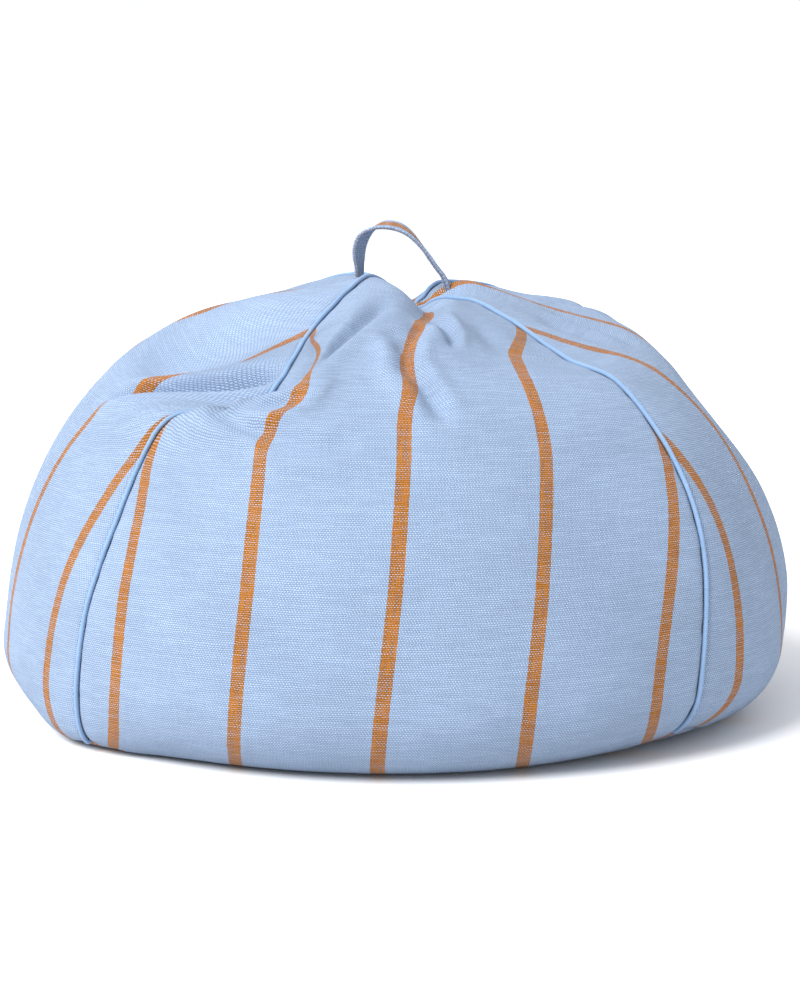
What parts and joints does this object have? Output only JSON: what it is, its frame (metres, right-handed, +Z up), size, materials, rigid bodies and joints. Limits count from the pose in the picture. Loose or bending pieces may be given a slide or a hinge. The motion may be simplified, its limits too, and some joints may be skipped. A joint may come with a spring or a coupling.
{
  "type": "bean bag pouf",
  "caption": "Round bead-filled floor pouf in striped woven cotton, with piped seams, a pinched crown, a small hand loop and a zip in its base.",
  "frame": {"origin": "on the floor, under the middle of the filled bag", "axes": "+Z up through the crown, -Y out of the front panel, +X to its right-hand neighbour"},
  "size_m": [0.6138, 0.6138, 0.3713],
  "materials": {
    "striped_cloth": "slub plain weave, matt",
    "piping_cloth": "smooth fine weave, matt",
    "cotton_cord": "twisted, matt",
    "patch_cloth": "plain canvas, matt",
    "zip_tape": "herringbone tape, matt",
    "zip_coil": "satin nylon",
    "zip_metal": "satin enamel",
    "liner_cloth": "non-woven, matt",
    "label_cloth": "satin weave, blank",
    "beads": "expanded polystyrene beads"
  },
  "bodies": {
    "bag": {"panel_front": "striped_cloth", "panel_right": "striped_cloth", "panel_back": "striped_cloth", "panel_left": "striped_cloth", "piping_cover_front_right": "piping_cloth", "piping_cover_front_left": "piping_cloth", "piping_cover_back_left": "piping_cloth", "piping_cover_back_right": "piping_cloth", "piping_cord_front_right": "cotton_cord", "piping_cord_front_left": "cotton_cord", "piping_cord_back_left": "cotton_cord", "piping_cord_back_right": "cotton_cord", "base_front": "striped_cloth", "base_back": "striped_cloth", "crown_patch": "patch_cloth", "handle_sewn_ends": "striped_cloth", "care_label": "label_cloth", "zip_tape_front": "zip_tape", "zip_tape_back": "zip_tape", "zip_coil_front": "zip_coil", "zip_coil_back": "zip_coil", "zip_stops": "zip_metal", "liner_wall": "liner_cloth", "liner_base": "liner_cloth", "liner_zip_tape_front": "zip_tape", "liner_zip_tape_back": "zip_tape", "liner_zip_coils": "zip_coil", "liner_zip_stops": "zip_metal", "bead_fill": "beads"},
    "hand_loop": {"handle_loop": "striped_cloth"},
    "zip_slider": {"zip_slider": "zip_metal"},
    "zip_pull": {"zip_pull": "zip_metal"},
    "liner_slider": {"liner_zip_slider": "zip_metal"}
  },
  "joints": [
    {"name": "loop_flop", "type": "hinge", "parent": "bag", "child": "hand_loop", "pos_m": [0.0045, 0.004, 0.3325], "axis": [0.9781, -0.2079, 0], "range_deg": [-60, 65], "stiffness_Nm_per_rad": 0.02},
    {"name": "zip_open", "type": "slide", "parent": "bag", "child": "zip_slider", "axis": [-1, 0, 0], "range_m": [0, 0.4]},
    {"name": "pull_turn", "type": "hinge", "parent": "zip_slider", "child": "zip_pull", "pos_m": [0.208, 0, 0.00185], "axis": [0, -1, 0], "range_deg": [0, 150]},
    {"name": "liner_zip_open", "type": "slide", "parent": "bag", "child": "liner_slider", "axis": [-1, 0, 0], "range_m": [0, 0.27]}
  ]
}
